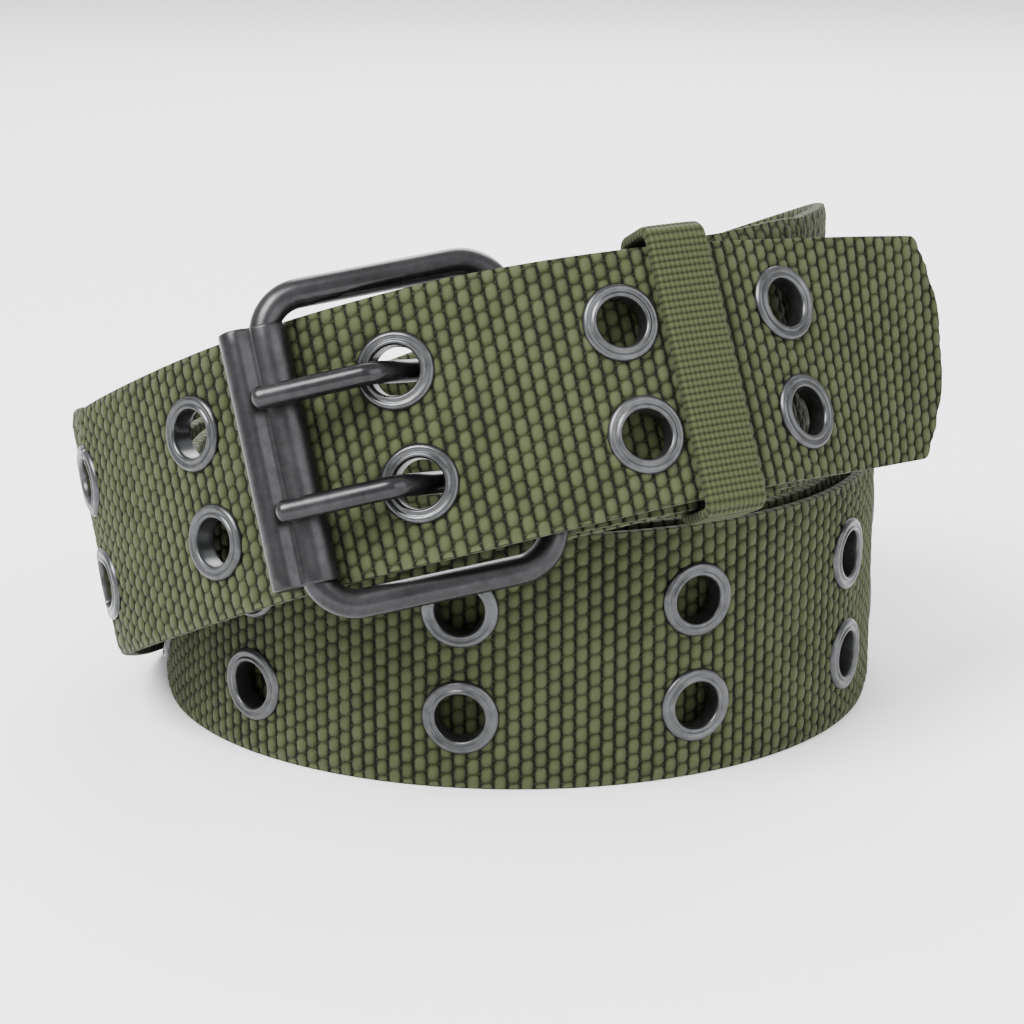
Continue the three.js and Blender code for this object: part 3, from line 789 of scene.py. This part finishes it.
# every piece's faces are turned outwards, by the sign of its volume
for piece in strapParts + eyelets + metalParts + [keeperLoop]:
    mesh = piece.data
    co = np.empty(len(mesh.vertices) * 3, np.float32)
    mesh.vertices.foreach_get("co", co)
    co = co.reshape(-1, 3)
    mesh.calc_loop_triangles()
    tri = np.empty(len(mesh.loop_triangles) * 3, np.int32)
    mesh.loop_triangles.foreach_get("vertices", tri)
    a, b, c = (co[tri.reshape(-1, 3)[:, k]] - co.mean(axis=0) for k in range(3))
    volume = np.einsum("ij,ij->i", a, np.cross(b, c)).sum()
    if volume < 0:
        mesh.flip_normals()
    print(piece.name, len(tri) // 3, "volume", round(float(volume) * 1e9 / 6, 1))


def material(name):
    m = bpy.data.materials.new(name)
    m.use_nodes = True
    nodes = m.node_tree.nodes
    return m, m.node_tree, nodes["Principled BSDF"]


def link(tree, a, b):
    tree.links.new(a, b)


def mathNode(tree, operation, *values, clamp=False):
    node = tree.nodes.new("ShaderNodeMath")
    node.operation = operation
    node.use_clamp = clamp
    for socket, value in zip(node.inputs, values):
        if isinstance(value, (int, float)):
            socket.default_value = value
        else:
            tree.links.new(value, socket)
    return node.outputs[0]


def beadGroup():
    tree = bpy.data.node_groups.new("Bead weave", "ShaderNodeTree")
    tree.interface.new_socket("Cloth", in_out="INPUT", socket_type="NodeSocketVector")
    for label in ("Bead", "Tint", "Yarn"):
        tree.interface.new_socket(label, in_out="OUTPUT", socket_type="NodeSocketFloat")
    start = tree.nodes.new("NodeGroupInput")
    end = tree.nodes.new("NodeGroupOutput")
    split = tree.nodes.new("ShaderNodeSeparateXYZ")
    link(tree, start.outputs[0], split.inputs[0])
    column = mathNode(tree, "DIVIDE", split.outputs[0], web["column"])
    number = mathNode(tree, "FLOOR", column)
    fu = mathNode(tree, "SUBTRACT", mathNode(tree, "FRACT", column), 0.5)
    odd = mathNode(tree, "MULTIPLY", mathNode(tree, "MODULO", number, 2.0), 0.5)
    row = mathNode(tree, "ADD", mathNode(tree, "DIVIDE", split.outputs[1], web["bead"]), odd)
    row = mathNode(tree, "MULTIPLY_ADD", fu, web["skew"], row)
    rowNumber = mathNode(tree, "FLOOR", row)
    fv = mathNode(tree, "SUBTRACT", mathNode(tree, "SUBTRACT", row, rowNumber), 0.5)
    wide = mathNode(tree, "DIVIDE", mathNode(tree, "ABSOLUTE", fu), web["beadWidth"])
    long = mathNode(tree, "DIVIDE", mathNode(tree, "ABSOLUTE", fv), web["beadLength"])
    wide = mathNode(tree, "POWER", wide, web["beadPower"])
    long = mathNode(tree, "POWER", long, web["beadPower"])
    dome = mathNode(tree, "SUBTRACT", 1.0, mathNode(tree, "ADD", wide, long), clamp=True)
    bead = mathNode(tree, "POWER", dome, 0.5)
    # the weft shows as a fine thread between the ends of two beads
    thread = mathNode(tree, "SUBTRACT", 0.5, mathNode(tree, "ABSOLUTE", fv))
    thread = mathNode(tree, "MULTIPLY", thread, web["weftSteepness"])
    thread = mathNode(tree, "SUBTRACT", 1.0, thread, clamp=True)
    thread = mathNode(tree, "MULTIPLY", thread, web["weft"])
    bead = mathNode(tree, "MAXIMUM", bead, thread)
    link(tree, bead, end.inputs["Bead"])
    cell = tree.nodes.new("ShaderNodeCombineXYZ")
    link(tree, number, cell.inputs[0])
    link(tree, rowNumber, cell.inputs[1])
    tint = tree.nodes.new("ShaderNodeTexWhiteNoise")
    link(tree, cell.outputs[0], tint.inputs["Vector"])
    link(tree, tint.outputs["Value"], end.inputs["Tint"])
    # yarn: fine noise, stretched along the beads
    wave = tree.nodes.new("ShaderNodeTexNoise")
    wave.inputs["Scale"].default_value = 1.0
    wave.inputs["Detail"].default_value = web["yarnDetail"]
    stretch = tree.nodes.new("ShaderNodeVectorMath")
    stretch.operation = "MULTIPLY"
    stretch.inputs[1].default_value = web["yarnStretch"]
    link(tree, start.outputs[0], stretch.inputs[0])
    link(tree, stretch.outputs[0], wave.inputs["Vector"])
    link(tree, wave.outputs["Fac"], end.inputs["Yarn"])
    return tree


beads = beadGroup()


# patchy wear, from 0 to 1, at two sizes of noise: broad fading and small rubbed spots
wearNoise = {
    "Fading": {"scale": 45.0, "detail": 2.0},
    "Rubbed": {"scale": 320.0, "detail": 5.0},
}


def wearGroup():
    tree = bpy.data.node_groups.new("Wear", "ShaderNodeTree")
    tree.interface.new_socket("Place", in_out="INPUT", socket_type="NodeSocketVector")
    for label in wearNoise:
        tree.interface.new_socket(label, in_out="OUTPUT", socket_type="NodeSocketFloat")
    start = tree.nodes.new("NodeGroupInput")
    end = tree.nodes.new("NodeGroupOutput")
    for label, size in wearNoise.items():
        noise = tree.nodes.new("ShaderNodeTexNoise")
        noise.inputs["Scale"].default_value = size["scale"]
        noise.inputs["Detail"].default_value = size["detail"]
        link(tree, start.outputs[0], noise.inputs["Vector"])
        spread = mathNode(tree, "MULTIPLY_ADD", noise.outputs["Fac"], 3.0, -1.0, clamp=True)
        link(tree, spread, end.inputs[label])
    return tree


wear = wearGroup()


def wearOf(tree):
    where = tree.nodes.new("ShaderNodeTexCoord")
    node = tree.nodes.new("ShaderNodeGroup")
    node.node_tree = wear
    link(tree, where.outputs["Object"], node.inputs[0])
    return node


def mixColour(tree, share, first, second):
    node = tree.nodes.new("ShaderNodeMix")
    node.data_type = "RGBA"
    for socket, value in ((node.inputs[0], share), (node.inputs[6], first), (node.inputs[7], second)):
        if isinstance(value, tuple):
            socket.default_value = (*value, 1)
        else:
            link(tree, value, socket)
    return node.outputs[2]


def ramp(tree, value, stops):
    node = tree.nodes.new("ShaderNodeValToRGB")
    elements = node.color_ramp.elements
    for element, (position, colour) in zip((elements[0], elements[1]), (stops[0], stops[-1])):
        element.position, element.color = position, (*colour, 1)
    for position, colour in stops[1:-1]:
        elements.new(position).color = (*colour, 1)
    link(tree, value, node.inputs[0])
    return node.outputs[0]


# the piece's own map of the cloth, in mm: as a vector, then along and across
def clothMap(tree):
    uv = tree.nodes.new("ShaderNodeUVMap")
    uv.uv_map = "cloth"
    split = tree.nodes.new("ShaderNodeSeparateXYZ")
    link(tree, uv.outputs[0], split.inputs[0])
    return uv.outputs[0], split.outputs[0], split.outputs[1]


def addBump(tree, shader, height, distance, strength):
    bump = tree.nodes.new("ShaderNodeBump")
    bump.inputs["Distance"].default_value = distance
    bump.inputs["Strength"].default_value = strength
    link(tree, height, bump.inputs["Height"])
    link(tree, bump.outputs[0], shader.inputs["Normal"])


def clothFinish(shader, look):
    shader.inputs["Roughness"].default_value = look["roughness"]
    shader.inputs["Sheen Weight"].default_value = look["sheen"]
    shader.inputs["Specular IOR Level"].default_value = look["specular"]


webLook = {
    # colours over the bead's height: the darkest is painted shade in the gaps between the beads
    "stops": (
        (0.08, (0.002, 0.003, 0.0006)),
        (0.5, (0.0166, 0.0213, 0.0066)),
        (1.0, (0.0385, 0.0452, 0.0195)),
    ),
    "faded": (0.065, 0.073, 0.039),
    "tint": 0.3,
    "yarn": 0.4,
    "darker": 0.36,
    "edgeWidth": 1.6,
    "edgeWear": 0.22,
    "fading": 0.16,
    "yarnHeight": 0.45,
    "bump": (0.00022, 0.8),
    "roughness": 0.78,
    "sheen": 0.04,
    "specular": 0.12,
}


def webbingMaterial():
    look = webLook
    m, tree, shader = material("olive webbing")
    cloth, _, across = clothMap(tree)
    weave = tree.nodes.new("ShaderNodeGroup")
    weave.node_tree = beads
    link(tree, cloth, weave.inputs[0])
    bead, tint, yarn = (weave.outputs[name] for name in ("Bead", "Tint", "Yarn"))
    # the colour follows the bead's height: painted shade darkens the gaps between the beads, and each
    # bead's random tint and the yarn's noise are added
    gapShadeAndTone = mathNode(tree, "MULTIPLY_ADD", tint, look["tint"], bead)
    gapShadeAndTone = mathNode(tree, "MULTIPLY_ADD", yarn, look["yarn"], gapShadeAndTone)
    colour = ramp(tree, mathNode(tree, "SUBTRACT", gapShadeAndTone, look["darker"]), look["stops"])
    # faded in patches, and paler where the edges rub
    edge = mathNode(tree, "ABSOLUTE", across)
    edge = mathNode(tree, "SUBTRACT", edge, belt["width"] / 2 - look["edgeWidth"])
    edge = mathNode(tree, "MULTIPLY", edge, look["edgeWear"], clamp=True)
    faded = mathNode(tree, "MULTIPLY_ADD", wearOf(tree).outputs["Fading"], look["fading"], edge)
    faded = mathNode(tree, "MULTIPLY", faded, bead, clamp=True)
    link(tree, mixColour(tree, faded, colour, look["faded"]), shader.inputs["Base Color"])
    height = mathNode(tree, "MULTIPLY_ADD", yarn, look["yarnHeight"], bead)
    addBump(tree, shader, height, *look["bump"])
    clothFinish(shader, look)
    return m


tapeLook = {
    # colours over the ribs' height: the darkest is painted shade in the grooves between the ribs
    "stops": (
        (0.1, (0.005, 0.007, 0.002)),
        (0.55, (0.022, 0.028, 0.009)),
        (1.0, (0.043, 0.05, 0.021)),
    ),
    "ribShare": 0.62,
    "yarn": 0.4,
    "yarnScale": 3.5,
    "darker": 0.2,
    "bump": (0.00015, 1.0),
    "roughness": 0.75,
    "sheen": 0.04,
    "specular": 0.12,
}


def keeperMaterial():
    look = tapeLook
    m, tree, shader = material("olive ribbed tape")
    cloth, run, across = clothMap(tree)
    heights = []
    waves = ((run, ribs["pitch"], look["ribShare"]), (across, ribs["warp"], 1 - look["ribShare"]))
    for value, pitch, share in waves:
        wave = mathNode(tree, "SINE", mathNode(tree, "MULTIPLY", value, math.pi / pitch))
        heights.append(mathNode(tree, "MULTIPLY", mathNode(tree, "ABSOLUTE", wave), share))
    height = mathNode(tree, "ADD", *heights)
    noise = tree.nodes.new("ShaderNodeTexNoise")
    noise.inputs["Scale"].default_value = look["yarnScale"]
    link(tree, cloth, noise.inputs["Vector"])
    # the colour follows the ribs' height: painted shade darkens the grooves between the ribs, and the
    # yarn's noise is added
    gapShadeAndTone = mathNode(tree, "SUBTRACT", height, look["darker"])
    gapShadeAndTone = mathNode(tree, "MULTIPLY_ADD", noise.outputs["Fac"], look["yarn"], gapShadeAndTone)
    link(tree, ramp(tree, gapShadeAndTone, look["stops"]), shader.inputs["Base Color"])
    addBump(tree, shader, height, *look["bump"])
    clothFinish(shader, look)
    return m


# two colours that the grain mixes, how metallic and rough the surface is, and the grain's scale
metalLooks = {
    "black gunmetal": {
        "dark": (0.02, 0.02, 0.021),
        "light": (0.03, 0.03, 0.031),
        "metallic": 0.88,
        "roughness": 0.29,
        "grain": 900.0,
    },
    "eyelet grey": {
        "dark": (0.04, 0.041, 0.042),
        "light": (0.066, 0.067, 0.069),
        "metallic": 0.9,
        "roughness": 0.32,
        "grain": 700.0,
    },
}
metalWear = {
    "grainDetail": 6.0,
    "grainFrom": 0.3,
    "grainTo": 0.7,
    "rubbed": 0.35,
    "rubbedPaler": 2.2,
    "roughnessRange": 0.14,
    "bump": (0.00002, 0.4),
}


def metalMaterial(name):
    look = metalLooks[name]
    m, tree, shader = material(name)
    where = tree.nodes.new("ShaderNodeTexCoord")
    noise = tree.nodes.new("ShaderNodeTexNoise")
    noise.inputs["Scale"].default_value = look["grain"]
    noise.inputs["Detail"].default_value = metalWear["grainDetail"]
    link(tree, where.outputs["Object"], noise.inputs["Vector"])
    worn = wearOf(tree)
    stops = ((metalWear["grainFrom"], look["dark"]), (metalWear["grainTo"], look["light"]))
    colour = ramp(tree, noise.outputs["Fac"], stops)
    rubbed = mathNode(tree, "MULTIPLY", worn.outputs["Rubbed"], worn.outputs["Fading"])
    rubbed = mathNode(tree, "MULTIPLY", rubbed, metalWear["rubbed"])
    paler = tuple(metalWear["rubbedPaler"] * c for c in look["light"])
    link(tree, mixColour(tree, rubbed, colour, paler), shader.inputs["Base Color"])
    spread = metalWear["roughnessRange"]
    least = look["roughness"] - spread / 2
    roughness = mathNode(tree, "MULTIPLY_ADD", worn.outputs["Fading"], spread, least)
    link(tree, roughness, shader.inputs["Roughness"])
    addBump(tree, shader, noise.outputs["Fac"], *metalWear["bump"])
    shader.inputs["Metallic"].default_value = look["metallic"]
    return m


finishes = (
    (strapParts, webbingMaterial()),
    (metalParts, metalMaterial("black gunmetal")),
    (eyelets, metalMaterial("eyelet grey")),
    ([keeperLoop], keeperMaterial()),
)
for pieces, finish in finishes:
    for piece in pieces:
        piece.data.materials.append(finish)
print("materials")

studio = {
    "floorHalf": 3.0,
    "floor": (0.93, 0.93, 0.935, 1),
    "floorRoughness": 0.9,
    "sky": (0.93, 0.94, 0.95, 1),
    "skyStrength": 1.6,
    "aim": (0, 0, 0.04),
    # place in metres, size, power
    "lamps": {
        "key": ((-0.5, -0.55, 0.9), 0.6, 34.0),
        "fill": ((0.8, -0.7, 0.5), 0.9, 9.0),
        "back": ((0.1, 0.9, 0.8), 0.8, 17.0),
    },
}


def floor():
    mesh = bpy.data.meshes.new("floor")
    s = studio["floorHalf"]
    mesh.from_pydata([(-s, -s, 0), (s, -s, 0), (s, s, 0), (-s, s, 0)], [], [(0, 1, 2, 3)])
    piece = bpy.data.objects.new("floor", mesh)
    bpy.context.scene.collection.objects.link(piece)
    m, tree, shader = material("pale floor")
    shader.inputs["Base Color"].default_value = studio["floor"]
    shader.inputs["Roughness"].default_value = studio["floorRoughness"]
    mesh.materials.append(m)


def areaLight(name, spot, size, power):
    light = bpy.data.lights.new(name, "AREA")
    light.size = size
    light.energy = power
    lamp = bpy.data.objects.new(name, light)
    lamp.location = spot
    lamp.rotation_euler = (Vector(studio["aim"]) - Vector(spot)).to_track_quat("-Z", "Y").to_euler()
    bpy.context.scene.collection.objects.link(lamp)


floor()
for name, lamp in studio["lamps"].items():
    areaLight(name, *lamp)
world = bpy.data.worlds.new("studio")
world.use_nodes = True
background = world.node_tree.nodes["Background"]
background.inputs[0].default_value = studio["sky"]
background.inputs[1].default_value = studio["skyStrength"]
bpy.context.scene.world = world
print("floor and lights")

# fitted to the photo: degrees, mm, and the focal length in the photo's pixels
cameraFit = {
    "elevation": 14.75,
    "distance": 446.4,
    "targetX": -0.716,
    "targetZ": 26.66,
    "focal": 2758.0,
    "pixels": 1024,
    "sensor": 36.0,
}
camera = bpy.data.objects.new("camera", bpy.data.cameras.new("camera"))
e = math.radians(cameraFit["elevation"])
away, rise = cameraFit["distance"] * math.cos(e), cameraFit["distance"] * math.sin(e)
camera.location = Vector(place([cameraFit["targetX"], -away, cameraFit["targetZ"] + rise]))
camera.rotation_euler = (math.radians(90) - e, 0, 0)
camera.data.sensor_width = cameraFit["sensor"]
camera.data.lens = cameraFit["focal"] * cameraFit["sensor"] / cameraFit["pixels"]
camera.data.clip_start = 0.01
bpy.context.scene.collection.objects.link(camera)
bpy.context.scene.camera = camera
print("camera")
